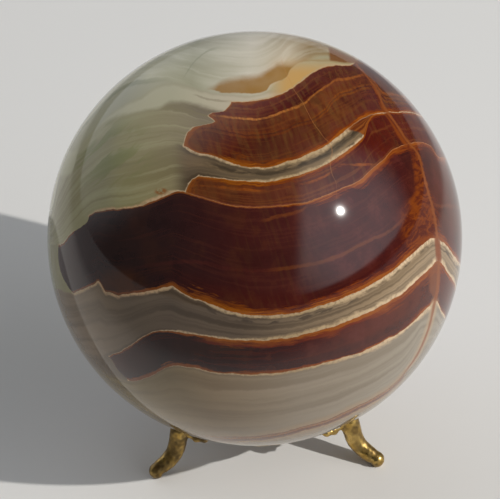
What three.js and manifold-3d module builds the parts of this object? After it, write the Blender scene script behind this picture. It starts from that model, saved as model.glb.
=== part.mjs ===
// Polished onyx sphere resting on a cast brass stand.
// The stand is a plain ring carried by three curved legs, each with a turned-out toe and,
// on both sides of its shoulder, a small beaded scroll that curls in to brace the ring.
// Millimetres, +Z up, origin on the table under the centre of the sphere. The viewer's
// side is -Y: one leg stands at the back and the other two at the front corners.

import * as THREE from "three";
import { mergeVertices } from "three/addons/utils/BufferGeometryUtils.js";
import Module from "manifold-3d";

const wasm = await Module();
wasm.setup();

// Sphere
const SPHERE_DIAMETER = 100;
const SPHERE_SEGMENTS = 64;

// Ring: the stone bears on it along the seat circle
const SEAT_RADIUS = 20;
const SEAT_HEIGHT = 15.1;
const RING_WIDTH = 3.6;
const RING_DEPTH = 2.5;
const RING_EDGE_ROUND = 0.8;
const RING_SEGMENTS = 72;

// Running clearances
const SEAT_GAP = 0.3;
const JOINT_GAP = 0.3;
const SHOULDER_CLEARANCE = 0.6;

// Legs: where the middle line of a leg starts against the ring, how far out of the ring's
// side it ends, and how its handles bend it
const LEG_AZIMUTHS = { leg_back: 90, leg_right: -30, leg_left: 210 };
const SHOULDER_REACH = 2.4;
const SHOULDER_DROP = 0.1;
const SHIN_LEAN = 1.0;
const SHIN_LENGTH = 10;
const LEG_SPREAD = 10.2;
const INSTEP_LENGTH = 5.7;
const INSTEP_RISE = 2.3;

// Legs: section sizes at the shoulder and at the ankle
const SHOULDER_WIDTH = 5.4;
const SHOULDER_THICKNESS = 4.8;
const ANKLE_WIDTH = 4.2;
const ANKLE_THICKNESS = 4;
const KEEL_HEIGHT = 0.4;
const KEEL_SHARPNESS = 6;
const SHOULDER_ROUND_SHARE = 0.12;
const ANKLE_ROUND_SHARE = 0.08;
const LEG_STATIONS = 22;
const LEG_SIDES = 14;

// Toe: a small ball, filed flat underneath
const TOE_BALL_RADIUS = 2.1;
const SOLE_CUT = 0.3;
const TOE_BALL_SEGMENTS = 18;

// Corbel: the shelf on the inside of each leg that the ring stands on
const CORBEL_WIDTH = 4.4;
const CORBEL_DEPTH = 3.4;
const CORBEL_NOSE = 1.1;

// Scroll: its route from the shoulder round to the ring, as distance out from the ring's
// outer side, degrees round from the leg and height over the ring's underside
const SCROLL_ROUTE = [
  [2.6, 2, 0.9],
  [2.3, 10, 0.4],
  [1.9, 16, 0.2],
  [1, 20.5, 0.7],
  [-0.4, 21.5, 1.3],
];
const SCROLL_RADIUS = 0.95;
const SCROLL_BEAD_SWELL = 0.5;
const SCROLL_BEADS = [0.34, 0.55, 0.76];
const SCROLL_BEAD_LENGTH = 0.07;
const SCROLL_STATIONS = 26;
const SCROLL_SIDES = 8;

// Derived sizes
const sphereRadius = SPHERE_DIAMETER / 2;
const centreHeight = SEAT_HEIGHT + Math.sqrt(sphereRadius ** 2 - SEAT_RADIUS ** 2);
const ringInner = SEAT_RADIUS - RING_WIDTH / 2;
const ringOuter = SEAT_RADIUS + RING_WIDTH / 2;
const ringUnderside = SEAT_HEIGHT - RING_DEPTH;
const toeRadius = ringOuter + LEG_SPREAD;
const toeHeight = TOE_BALL_RADIUS - SOLE_CUT;

// Height of the seat above the table at a given distance from the axis
function seatHeightAt(radius) {
  return centreHeight - Math.sqrt((sphereRadius + SEAT_GAP) ** 2 - radius ** 2);
}

// Onyx and cast brass, one material object for each piece
function onyx() {
  return new THREE.MeshStandardMaterial({ color: 0x8f7a66, roughness: 0.08, metalness: 0 });
}

function castBrass() {
  return new THREE.MeshStandardMaterial({ color: 0x9a7a3c, roughness: 0.38, metalness: 0.9 });
}

// Solid for joining and cutting, from any closed geometry
function solidOf(geometry) {
  const bare = geometry.clone();
  bare.deleteAttribute("normal");
  bare.deleteAttribute("uv");
  const merged = mergeVertices(bare, 1e-5);
  return new wasm.Manifold(
    new wasm.Mesh({
      numProp: 3,
      vertProperties: new Float32Array(merged.attributes.position.array),
      triVerts: new Uint32Array(merged.index.array),
    }),
  );
}

function geometryOf(solid) {
  const mesh = solid.getMesh();
  const geometry = new THREE.BufferGeometry();
  geometry.setAttribute("position", new THREE.BufferAttribute(mesh.vertProperties, 3));
  geometry.setIndex(new THREE.BufferAttribute(mesh.triVerts, 1));
  geometry.computeVertexNormals();
  return geometry;
}

// Closed skin over a row of rings of points, each ring counter-clockwise about the route
function loft(rings) {
  const sides = rings[0].length;
  const positions = rings.flat().flatMap((point) => point.toArray());
  const index = [];
  for (let row = 0; row + 1 < rings.length; row++) {
    for (let side = 0; side < sides; side++) {
      const a = row * sides + side;
      const b = row * sides + ((side + 1) % sides);
      index.push(a, b, b + sides);
      index.push(a, b + sides, a + sides);
    }
  }
  const lastRow = (rings.length - 1) * sides;
  for (let side = 1; side + 1 < sides; side++) {
    index.push(0, side + 1, side);
    index.push(lastRow, lastRow + side, lastRow + side + 1);
  }
  const geometry = new THREE.BufferGeometry();
  geometry.setAttribute("position", new THREE.Float32BufferAttribute(positions, 3));
  geometry.setIndex(index);
  return geometry;
}

// How much a section is drawn in near a rounded end, at a share of the rounding's length.
// The end itself stays a small flat.
function endRound(share) {
  const flatShare = 0.06;
  const inside = THREE.MathUtils.clamp(share, flatShare, 1);
  return Math.sqrt(1 - (1 - inside) ** 2);
}

// The sphere's poles lie on the upright axis
function buildSphere() {
  const geometry = new THREE.SphereGeometry(sphereRadius, SPHERE_SEGMENTS, SPHERE_SEGMENTS / 2);
  geometry.rotateX(Math.PI / 2);
  return geometry;
}

// Ring profile: a seat that follows the stone, a flat underside and a rounded outer side
function buildRing() {
  const seatSteps = 4;
  const roundSteps = 3;
  const profile = [];
  for (let i = 0; i <= seatSteps; i++) {
    const radius = ringInner + ((RING_WIDTH - RING_EDGE_ROUND) * i) / seatSteps;
    profile.push(new THREE.Vector2(radius, seatHeightAt(radius)));
  }
  const topEdge = seatHeightAt(ringOuter - RING_EDGE_ROUND) - RING_EDGE_ROUND;
  for (let i = 1; i <= roundSteps; i++) {
    const turn = ((Math.PI / 2) * i) / roundSteps;
    profile.push(new THREE.Vector2(
      ringOuter - RING_EDGE_ROUND * (1 - Math.sin(turn)),
      topEdge + RING_EDGE_ROUND * Math.cos(turn),
    ));
  }
  for (let i = 0; i <= roundSteps; i++) {
    const turn = ((Math.PI / 2) * i) / roundSteps;
    profile.push(new THREE.Vector2(
      ringOuter - RING_EDGE_ROUND * (1 - Math.cos(turn)),
      ringUnderside + RING_EDGE_ROUND * (1 - Math.sin(turn)),
    ));
  }
  profile.push(new THREE.Vector2(ringInner, ringUnderside));
  profile.push(profile[0].clone());
  const geometry = new THREE.LatheGeometry(profile.reverse(), RING_SEGMENTS);
  geometry.rotateX(Math.PI / 2);
  return geometry;
}

// Middle line of a leg in its own upright plane, from the shoulder down to the toe
function legLine() {
  const shoulder = new THREE.Vector3(ringOuter + SHOULDER_REACH, 0, SEAT_HEIGHT - SHOULDER_DROP);
  const toe = new THREE.Vector3(toeRadius, 0, toeHeight);
  return new THREE.CubicBezierCurve3(
    shoulder,
    new THREE.Vector3(shoulder.x + SHIN_LEAN, 0, shoulder.z - SHIN_LENGTH),
    new THREE.Vector3(toe.x - INSTEP_LENGTH, 0, toe.z + INSTEP_RISE),
    toe,
  );
}

// Swept leg: an oval section with a low keel along its outer side
function legShaft() {
  const line = legLine();
  const rings = [];
  for (let i = 0; i <= LEG_STATIONS; i++) {
    const along = i / LEG_STATIONS;
    const centre = line.getPoint(along);
    const tangent = line.getTangent(along);
    const outward = new THREE.Vector3(-tangent.z, 0, tangent.x);
    const round =
      endRound(along / SHOULDER_ROUND_SHARE) * endRound((1 - along) / ANKLE_ROUND_SHARE);
    const halfWidth = (THREE.MathUtils.lerp(SHOULDER_WIDTH, ANKLE_WIDTH, along) / 2) * round;
    const halfThickness =
      (THREE.MathUtils.lerp(SHOULDER_THICKNESS, ANKLE_THICKNESS, along) / 2) * round;
    const ring = [];
    for (let side = 0; side < LEG_SIDES; side++) {
      const turn = (2 * Math.PI * side) / LEG_SIDES;
      const keel = KEEL_HEIGHT * round * Math.max(0, Math.cos(turn)) ** KEEL_SHARPNESS;
      const point = centre.clone().addScaledVector(outward, halfThickness * Math.cos(turn) + keel);
      point.y -= halfWidth * Math.sin(turn);
      ring.push(point);
    }
    rings.push(ring);
  }
  return solidOf(loft(rings));
}

function toeBall() {
  const geometry = new THREE.SphereGeometry(
    TOE_BALL_RADIUS,
    TOE_BALL_SEGMENTS,
    TOE_BALL_SEGMENTS / 2,
  );
  geometry.rotateX(Math.PI / 2);
  geometry.translate(toeRadius, 0, toeHeight);
  return solidOf(geometry);
}

// Shelf under the ring, with a hollowed underside that runs into the leg
function corbel() {
  const top = ringUnderside - JOINT_GAP;
  const nose = top - CORBEL_NOSE;
  const back = ringOuter + SHOULDER_REACH;
  const outline = new THREE.Shape();
  outline.moveTo(ringInner, top);
  outline.lineTo(back, top);
  outline.lineTo(back, top - CORBEL_DEPTH);
  outline.quadraticCurveTo(ringOuter, nose, ringInner, nose);
  outline.closePath();
  const geometry = new THREE.ExtrudeGeometry(outline, {
    depth: CORBEL_WIDTH,
    bevelEnabled: false,
    curveSegments: 5,
  });
  geometry.rotateX(Math.PI / 2);
  geometry.translate(0, CORBEL_WIDTH / 2, 0);
  return solidOf(geometry);
}

// Beaded scroll on one side of the shoulder; hand is +1 or -1
function scroll(hand) {
  const points = SCROLL_ROUTE.map(([out, degrees, height]) => {
    const turn = hand * THREE.MathUtils.degToRad(degrees);
    const radius = ringOuter + out;
    return new THREE.Vector3(
      radius * Math.cos(turn),
      radius * Math.sin(turn),
      ringUnderside + height,
    );
  });
  const route = new THREE.CatmullRomCurve3(points, false, "centripetal");
  const frames = route.computeFrenetFrames(SCROLL_STATIONS, false);
  const rings = [];
  for (let i = 0; i <= SCROLL_STATIONS; i++) {
    const along = i / SCROLL_STATIONS;
    const centre = route.getPointAt(along);
    let radius = SCROLL_RADIUS;
    for (const bead of SCROLL_BEADS) {
      radius += SCROLL_BEAD_SWELL * Math.exp(-(((along - bead) / SCROLL_BEAD_LENGTH) ** 2));
    }
    const ring = [];
    for (let side = 0; side < SCROLL_SIDES; side++) {
      const turn = (2 * Math.PI * side) / SCROLL_SIDES;
      ring.push(
        centre
          .clone()
          .addScaledVector(frames.normals[i], radius * Math.cos(turn))
          .addScaledVector(frames.binormals[i], radius * Math.sin(turn)),
      );
    }
    rings.push(ring);
  }
  return solidOf(loft(rings));
}

// Room that the leg leaves for the ring, open upwards
function ringPocket() {
  const profile = [
    new THREE.Vector2(0, ringUnderside - JOINT_GAP),
    new THREE.Vector2(ringOuter + JOINT_GAP, ringUnderside - JOINT_GAP),
    new THREE.Vector2(ringOuter + JOINT_GAP, centreHeight),
    new THREE.Vector2(0, centreHeight),
  ];
  const geometry = new THREE.LatheGeometry(profile, RING_SEGMENTS);
  geometry.rotateX(Math.PI / 2);
  return solidOf(geometry);
}

// Room that the leg leaves for the stone
function stoneHollow() {
  const geometry = new THREE.SphereGeometry(
    sphereRadius + SHOULDER_CLEARANCE,
    SPHERE_SEGMENTS,
    SPHERE_SEGMENTS / 2,
  );
  geometry.rotateX(Math.PI / 2);
  geometry.translate(0, 0, centreHeight);
  return solidOf(geometry);
}

// Everything below the table top
function belowTable() {
  const span = 4 * toeRadius;
  const geometry = new THREE.BoxGeometry(span, span, span);
  geometry.translate(0, 0, -span / 2);
  return solidOf(geometry);
}

function buildLeg() {
  const solid = legShaft()
    .add(toeBall())
    .add(corbel())
    .add(scroll(1))
    .add(scroll(-1))
    .subtract(ringPocket())
    .subtract(stoneHollow())
    .subtract(belowTable());
  return geometryOf(solid);
}

const group = new THREE.Group();

const stand = new THREE.Group();
group.add(stand);

const ring = new THREE.Mesh(buildRing(), castBrass());
ring.name = "support_ring";
stand.add(ring);

const legGeometry = buildLeg();
for (const [name, azimuth] of Object.entries(LEG_AZIMUTHS)) {
  const leg = new THREE.Mesh(legGeometry, castBrass());
  leg.name = name;
  leg.rotation.z = THREE.MathUtils.degToRad(azimuth);
  stand.add(leg);
}

const sphere = new THREE.Mesh(buildSphere(), onyx());
sphere.name = "onyx_sphere";
sphere.position.z = centreHeight;
group.add(sphere);

export default group;
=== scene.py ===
# %% [markdown]
# # A banded onyx ball on a small brass stand
#
# The object is a polished ball of banded onyx, 100 mm across, that lies loose in the ring of a cast brass
# stand with three curved legs. Nearly all of its looks are in the stone: red-brown bands with orange and
# cream edges, in a pale grey-green ground. The stand is small, lumpy and darkened with age.
#
# The measured model, the frame, is loaded first. Everything is in metres, and the table top is at z = 0.

# %% Load the measured model
import math

import bpy
import bmesh
from mathutils import Matrix, Vector, noise


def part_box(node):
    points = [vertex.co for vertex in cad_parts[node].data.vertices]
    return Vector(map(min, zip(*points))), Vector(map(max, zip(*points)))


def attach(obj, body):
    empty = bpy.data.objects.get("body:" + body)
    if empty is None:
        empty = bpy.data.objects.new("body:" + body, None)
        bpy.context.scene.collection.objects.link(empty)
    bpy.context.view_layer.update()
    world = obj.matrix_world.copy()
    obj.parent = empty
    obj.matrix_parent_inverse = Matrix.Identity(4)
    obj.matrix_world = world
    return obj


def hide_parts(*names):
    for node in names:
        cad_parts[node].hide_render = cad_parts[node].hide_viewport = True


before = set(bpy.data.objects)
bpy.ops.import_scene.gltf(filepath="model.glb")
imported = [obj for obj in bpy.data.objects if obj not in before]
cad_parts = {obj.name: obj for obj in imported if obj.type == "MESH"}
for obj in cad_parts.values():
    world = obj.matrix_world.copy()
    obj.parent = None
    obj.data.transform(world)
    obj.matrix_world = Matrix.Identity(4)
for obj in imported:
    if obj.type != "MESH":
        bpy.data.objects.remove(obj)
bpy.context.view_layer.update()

MM = 0.001
ball_low, ball_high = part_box("onyx_sphere")
BALL_CENTRE = (ball_low + ball_high) / 2
BALL_RADIUS = (ball_high.x - ball_low.x) / 2
print(f"ball: radius {BALL_RADIUS / MM:.1f} mm, centre {BALL_CENTRE.z / MM:.1f} mm over the table")

# %% [markdown]
# ## The camera
#
# The photograph was taken from straight in front and well above, with the camera turned a little, so that
# the picture leans by about 3 degrees. The distance and the lens were found from the ball's outline, its
# shadow and the two legs that show. A long lens gives the same picture without any lens shift, which would
# push the object out of the frame in the other views.
#
# A camera looks along its own -Z axis with +Y up, so its three axes are built as vectors and put in a matrix.

# %% Place the camera
EYE_DISTANCE = 11.663 * BALL_RADIUS
EYE_ELEVATION = math.radians(36.76)
CAMERA_ROLL = math.radians(-3.12)
AIM_RIGHT, AIM_UP = -0.0022, -0.0045
LENS = 173.7


def turned(right, up, angle):
    """The picture's right and up directions after the camera is rolled by an angle."""
    cosine, sine = math.cos(angle), math.sin(angle)
    return right * cosine + up * sine, up * cosine - right * sine


def level_axes(forward):
    """The right and up directions of an unrolled camera that looks forward."""
    right = forward.cross(Vector((0, 0, 1))).normalized()
    return right, right.cross(forward)


to_eye = Vector((0, -math.cos(EYE_ELEVATION), math.sin(EYE_ELEVATION)))
eye = BALL_CENTRE + EYE_DISTANCE * to_eye
level_right, level_up = level_axes(-to_eye)
forward = (-to_eye + AIM_RIGHT * level_right + AIM_UP * level_up).normalized()
camera_right, camera_up = turned(*level_axes(forward), CAMERA_ROLL)

camera_data = bpy.data.cameras.new("camera")
camera_data.lens = LENS
camera_data.sensor_width = 36
camera_data.clip_start = 0.01
camera = bpy.data.objects.new("camera", camera_data)
bpy.context.scene.collection.objects.link(camera)
axes = Matrix((camera_right, camera_up, -forward)).transposed()
camera.matrix_world = Matrix.Translation(eye) @ axes.to_4x4()
bpy.context.scene.camera = camera
print(f"camera: {eye.length / MM:.0f} mm from the table's middle, lens {LENS} mm")

# %% [markdown]
# ## Helpers for node trees
#
# A node tree is easier to read as code when each line makes one node and hands on its output. The helpers
# take numbers or sockets alike: a number is written on the input, and a socket is linked to it. All of them
# add to `tree`, the node tree that is being built, so each cell that starts a new one sets `tree` first.

# %% Node helpers: numbers
def feed(value, socket):
    """Writes a number or colour on an input, or links a socket to it."""
    if isinstance(value, bpy.types.NodeSocket):
        tree.links.new(value, socket)
    else:
        socket.default_value = value


def calc(operation, *values):
    """One Math node."""
    node = tree.nodes.new("ShaderNodeMath")
    node.operation = operation
    for value, socket in zip(values, node.inputs):
        feed(value, socket)
    return node.outputs[0]


def chain(operation, values):
    """Math nodes one after another, from the last value back to the first."""
    result = values[-1]
    for value in reversed(values[:-1]):
        result = calc(operation, value, result)
    return result


def plus(*values):
    """The values added up."""
    return chain("ADD", values)


def minus(value, taken):
    """One value less another."""
    return calc("SUBTRACT", value, taken)


def times(*values):
    """The values, or masks, multiplied together."""
    return chain("MULTIPLY", values)


def largest(*values):
    """The largest of the values."""
    return chain("MAXIMUM", values)


def smallest(*values):
    """The smallest of the values."""
    return chain("MINIMUM", values)


def outside(mask):
    """1 where a mask is 0."""
    return minus(1.0, mask)


def along(vector, direction):
    """How far a vector reaches along a direction."""
    node = tree.nodes.new("ShaderNodeVectorMath")
    node.operation = "DOT_PRODUCT"
    feed(vector, node.inputs[0])
    feed(tuple(direction), node.inputs[1])
    return node.outputs["Value"]


def join(x, y, z):
    """A vector from three values."""
    node = tree.nodes.new("ShaderNodeCombineXYZ")
    for value, socket in zip((x, y, z), node.inputs):
        feed(value, socket)
    return node.outputs[0]


def fill(node, **values):
    """Feeds a node's inputs by name, and returns its outputs."""
    for name, value in values.items():
        feed(value, node.inputs[name.replace("_", " ")])
    return node.outputs


def fade(value, start, end, low=0.0, high=1.0):
    """Goes smoothly from low to high while the value goes from start to end."""
    node = tree.nodes.new("ShaderNodeMapRange")
    node.interpolation_type = "SMOOTHSTEP"
    # The smooth step stays between its ends by itself. Clamping it too would add a node each time, and
    # Cycles can't render a tree as large as the onyx with all of them.
    node.clamp = False
    return fill(node, Value=value, From_Min=start, From_Max=end, To_Min=low, To_Max=high)[0]


def grain(vector, scale, detail=3.0, roughness=0.5, distortion=0.0):
    """A Noise texture's value, mostly between 0.3 and 0.7."""
    node = tree.nodes.new("ShaderNodeTexNoise")
    return fill(node, Vector=vector, Scale=scale, Detail=detail, Roughness=roughness,
                Distortion=distortion)["Fac"]


print("node helpers for numbers ready")


# %% Node helpers: colours and groups
def linear(red, green, blue):
    """A screen colour of 0 to 255 as the linear values that Blender works in."""
    def one(value):
        value /= 255
        return value / 12.92 if value <= 0.04045 else ((value + 0.055) / 1.055) ** 2.4
    return one(red), one(green), one(blue), 1.0


def as_colour(given):
    """A screen colour as linear values, and anything else as it is."""
    return linear(*given) if isinstance(given, tuple) else given


def lay(base, colour, *masks):
    """Lays a colour over another where the masks, multiplied together, are 1."""
    # The mask comes before the Mix node. Cycles visits nodes in the order in which they were made, keeps what
    # waits for a later one on a small stack, and can't render the onyx if that overflows.
    mask = times(*masks)
    node = tree.nodes.new("ShaderNodeMix")
    node.data_type = "RGBA"
    feed(mask, node.inputs["Factor"])
    feed(as_colour(base), node.inputs[6])
    feed(as_colour(colour), node.inputs[7])
    return node.outputs[2]


def colour_bar(value, stops):
    """A Color Ramp whose stops are (place, screen colour)."""
    node = tree.nodes.new("ShaderNodeValToRGB")
    elements = node.color_ramp.elements
    while len(elements) < len(stops):
        elements.new(0.5)
    for element, (place, colour) in zip(elements, stops):
        element.position = place
        element.color = linear(*colour)
    feed(value, node.inputs[0])
    return node.outputs[0]


def new_group(name, inputs, outputs):
    """An empty node group with named sockets, and its two end nodes."""
    group = bpy.data.node_groups.new(name, "ShaderNodeTree")
    for title, kind in inputs:
        group.interface.new_socket(name=title, in_out="INPUT", socket_type=kind)
    for title, kind in outputs:
        group.interface.new_socket(name=title, in_out="OUTPUT", socket_type=kind)
    return group, group.nodes.new("NodeGroupInput").outputs, group.nodes.new("NodeGroupOutput").inputs


def use_group(group, **values):
    """Places a group in the tree, sets its inputs and returns its outputs."""
    node = tree.nodes.new("ShaderNodeGroup")
    node.node_tree = group
    return fill(node, **values)


FLOAT, VECTOR, COLOUR = "NodeSocketFloat", "NodeSocketVector", "NodeSocketColor"
print("node helpers for colours ready")

# %% [markdown]
# ## The studio
#
# A plain pale table top, one hard lamp and two soft windows. The hard lamp stands to the right and a little
# towards the viewer, 33 degrees up: it makes the white spark on the stone and the long shadow to the left.
# The windows are patches of light in a dim sky. The one beside the lamp has a sill at eye level and a post
# at its left, and gives the polished stone its milky veil. The one behind at the left is soft all round and
# lights the stone's dark side. The levels are plain, so that a colour renders about as it is written.

# %% Table top and lamp
KEY_DIRECTION = Vector((0.730, -0.410, 0.546)).normalized()
KEY_DISTANCE = 2.6
KEY_WATTS = 235
TABLE_HALF = 1.5
LINEN = (226, 225, 223)

linen = bpy.data.materials.new("table_linen")
linen.use_nodes = True
linen_shader = linen.node_tree.nodes["Principled BSDF"]
linen_shader.inputs["Base Color"].default_value = linear(*LINEN)
linen_shader.inputs["Roughness"].default_value = 0.8
linen_shader.inputs["Specular IOR Level"].default_value = 0.2

corners = [(TABLE_HALF * x, TABLE_HALF * y, 0) for x, y in ((-1, -1), (1, -1), (1, 1), (-1, 1))]
floor_mesh = bpy.data.meshes.new("table_top")
floor_mesh.from_pydata(corners, [], [(0, 1, 2, 3)])
floor = bpy.data.objects.new("table_top", floor_mesh)
bpy.context.scene.collection.objects.link(floor)
floor_mesh.materials.append(linen)

key_data = bpy.data.lights.new("key", "SPOT")
key_data.energy = KEY_WATTS
key_data.spot_size = math.radians(10.4)
key_data.spot_blend = 0.5
key_data.shadow_soft_size = 0.022
key_data.color = (1.0, 0.97, 0.92)
key = bpy.data.objects.new("key", key_data)
key.location = BALL_CENTRE + KEY_DIRECTION * KEY_DISTANCE
key.rotation_euler = (key.location - Vector((-0.01, 0.09, 0))).to_track_quat("Z", "Y").to_euler()
bpy.context.scene.collection.objects.link(key)
print(f"studio: table top, and a lamp {KEY_DISTANCE} m away")

# %% A dim sky with two windows
world = bpy.data.worlds.new("studio")
bpy.context.scene.world = world
world.use_nodes = True
tree = world.node_tree
sky_direction = tree.nodes.new("ShaderNodeTexCoord").outputs["Generated"]


def toward(direction, dark_angle, bright_angle):
    """Goes from 0 to 1 as the view turns towards a direction, between two angles from it in degrees."""
    turn = along(sky_direction, Vector(direction).normalized())
    return fade(turn, math.cos(math.radians(dark_angle)), math.cos(math.radians(bright_angle)))


over_sill = toward((0, 0, 1), 88, 86)
right_of_post = toward((0.912, 0.273, -0.308), 94, 85)
near_lamp = toward((0.80, -0.45, 0.40), 48, 10)
window_right = times(over_sill, right_of_post, near_lamp)
window_behind = toward((-0.52, 0.68, 0.52), 60, 20)
background = tree.nodes["Background"]
background.inputs["Color"].default_value = (0.93, 0.96, 1.0, 1.0)
feed(plus(times(window_right, 1.2), times(window_behind, 0.78), 0.08), background.inputs["Strength"])

bpy.context.scene.view_settings.view_transform = "Standard"
print("sky: dim, with two windows")

# %% [markdown]
# ## Handling marks, shared by stone and brass
#
# Everything that is polished or picked up gets faint smears and specks. They change nothing but how sharp
# the reflection is, so the group gives one value for Roughness. Stone and brass each set their own amounts.

# %% Group: handling marks
marks_group, given, result = new_group(
    "Handling marks",
    [("Place", VECTOR), ("Clean", FLOAT), ("Smeared", FLOAT), ("Size", FLOAT)],
    [("Roughness", FLOAT)],
)
tree = marks_group
smears = grain(given["Place"], given["Size"], 4.0, 0.6, 0.8)
specks = grain(given["Place"], times(given["Size"], 22.0), 2.0)
dirty = plus(fade(smears, 0.45, 0.75), fade(specks, 0.66, 0.8, 0.0, 0.5))
span = minus(given["Smeared"], given["Clean"])
feed(calc("MULTIPLY_ADD", dirty, span, given["Clean"]), result["Roughness"])
print("group:", marks_group.name)

# %% [markdown]
# ## How the stone's layers are drawn
#
# Onyx is laid down in sheets, so its bands are sheets cut by the ball. Seen from the front, each edge of a
# band is a line that runs across the face of the ball. Here each line is drawn through a few points in
# the photograph, and a Float Curve carries it: for each place across the face it gives the line's height.
# Because the lines are read in the stone's own space, right through the ball, every sheet goes on round the
# sides and out at the back, and nothing depends on where a later camera stands.
#
# The points are pixels of the photograph, and `face_place` puts them on the ball: it undoes the perspective
# and gives a place across and up the face, from 0 to 1.

# %% From a point in the picture to a place on the stone
OUTLINE_CENTRE = (254.7, 238.4)
OUTLINE_RADII = (206.3, 208.9)
FACE_RIGHT, FACE_UP = turned(level_right, level_up, CAMERA_ROLL)
FACE_SPAN = 2 * BALL_RADIUS / MM


def face_place(pixel_x, pixel_y):
    """Where a picture point lies on the ball, across and up its face, each from 0 to 1."""
    right = (pixel_x - OUTLINE_CENTRE[0]) / OUTLINE_RADII[0]
    up = (OUTLINE_CENTRE[1] - pixel_y) / OUTLINE_RADII[1]
    reach = math.hypot(right, up)
    if reach > 0.9999:
        return 0.5 + right / reach / 2, 0.5 + up / reach / 2
    distance = EYE_DISTANCE / BALL_RADIUS
    slope = reach * reach / (distance * distance - 1)
    facing = (slope * distance + math.sqrt(1 - reach * reach)) / (1 + slope)
    share = math.sqrt(1 - facing * facing) / max(reach, 1e-6)
    return 0.5 + right * share / 2, 0.5 + up * share / 2


def line_through(place, spots, handle="AUTO_CLAMPED"):
    """A Float Curve through (place, value) spots."""
    spots = sorted(spots)
    node = tree.nodes.new("ShaderNodeFloatCurve")
    curve = node.mapping.curves[0]
    curve.points[0].location = (0.0, spots[0][1])
    curve.points[1].location = (1.0, spots[-1][1])
    for spot in spots:
        curve.points.new(*spot)
    for point in curve.points:
        point.handle_type = handle
    node.mapping.update()
    feed(place, node.inputs["Value"])
    return node.outputs[0]


def drawn_line(place, points, downwards=False, handle="AUTO_CLAMPED"):
    """A Float Curve through given picture points: a line across the face, or one that runs down it."""
    spots = [face_place(*point) for point in points]
    if downwards:
        spots = [(up, across) for across, up in spots]
    return line_through(place, spots, handle)


print("face: 0 to 1 across is", round(FACE_SPAN), "mm")

# %% Group: the stone's own directions
WAVE_HEIGHT, TOOTH_HEIGHT = 0.01, 0.006
directions_group, given, result = new_group(
    "Stone directions",
    [("Place", VECTOR)],
    [("Across", FLOAT), ("Up", FLOAT), ("Inward", FLOAT)],
)
tree = directions_group
centred = tree.nodes.new("ShaderNodeVectorMath")
centred.operation = "SUBTRACT"
feed(given["Place"], centred.inputs[0])
centred.inputs[1].default_value = BALL_CENTRE
centred = centred.outputs[0]
across = along(centred, FACE_RIGHT / (2 * BALL_RADIUS))
up = along(centred, FACE_UP / (2 * BALL_RADIUS))
inward = along(centred, -to_eye / (2 * BALL_RADIUS))
behind = calc("POWER", largest(inward, 0.0), 2.0)
fold = grain(centred, 16.0, 1.0)
shift = times(behind, calc("MULTIPLY_ADD", fold, 1.6, -0.2))
wave = times(minus(grain(centred, 160.0, 2.0), 0.5), WAVE_HEIGHT)
tooth = times(minus(grain(centred, 700.0, 3.0, 0.6), 0.5), TOOTH_HEIGHT)
feed(plus(across, 0.5, times(behind, -0.35)), result["Across"])
feed(plus(up, 0.5, shift, wave, tooth), result["Up"])
feed(inward, result["Inward"])
print("group:", directions_group.name)

# %% Group: one band between two lines
band_group, given, result = new_group(
    "Band",
    [("Up", FLOAT), ("Across", FLOAT), ("Top", FLOAT), ("Bottom", FLOAT), ("Left end", FLOAT)],
    [("Depth", FLOAT), ("Share", FLOAT), ("Under top", FLOAT), ("Over bottom", FLOAT), ("From end", FLOAT)],
)
tree = band_group
top_gap = minus(given["Top"], given["Up"])
under_top = times(top_gap, FACE_SPAN)
over_bottom = times(minus(given["Up"], given["Bottom"]), FACE_SPAN)
from_end = times(minus(given["Across"], given["Left end"]), FACE_SPAN)
height = largest(minus(given["Top"], given["Bottom"]), 0.004)
feed(smallest(under_top, over_bottom, from_end), result["Depth"])
share = largest(calc("DIVIDE", top_gap, height), 0.0)
feed(smallest(share, 1.0), result["Share"])
feed(under_top, result["Under top"])
feed(over_bottom, result["Over bottom"])
feed(from_end, result["From end"])
print("group:", band_group.name)

# %% Group: the stain along one edge
stain_group, given, result = new_group(
    "Edge stain",
    [("Distance", FLOAT), ("Beside", FLOAT), ("Orange width", FLOAT), ("Cream width", FLOAT),
     ("Swell", FLOAT), ("Across", FLOAT), ("Inward", FLOAT)],
    [("Orange", FLOAT), ("Yellow", FLOAT), ("Cream", FLOAT)],
)
tree = stain_group
distance = given["Distance"]
orange = largest(times(given["Orange width"], given["Swell"]), 0.02)
cream = largest(times(given["Cream width"], given["Swell"]), 0.02)
in_band = times(fade(distance, -0.15, 0.0), fade(given["Beside"], -0.1, 0.1))
out_of_band = times(fade(distance, 0.3, 0.1), fade(given["Beside"], -0.5, -0.1))
standing = join(times(given["Across"], 14.0), times(distance, 2.2), times(given["Inward"], 14.0))
streaks = grain(standing, 1.0, 3.0, 0.6)
streaky = calc("MULTIPLY_ADD", minus(streaks, 0.5), times(orange, 3.0), distance)
to_orange = fade(streaky, times(orange, 1.4), times(orange, 0.6))
to_yellow = fade(streaky, times(orange, 0.7), times(orange, 0.1))
to_cream = fade(times(distance, -1.0), times(cream, 1.2), times(cream, 0.3))
feed(times(to_orange, in_band), result["Orange"])
feed(times(to_yellow, in_band), result["Yellow"])
feed(times(to_cream, out_of_band), result["Cream"])
print("group:", stain_group.name)

# %% [markdown]
# ## The edges of the bands
#
# From the top: a fan of brown layers, a grey lens, a brown layer, the big maroon band, a grey layer, a
# lower maroon band, and pale stone. To the left the dark bands end in ragged steps. At the right all
# layers bend down sharply at a fault, an old crack in the stone, and make a herringbone there.

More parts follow.
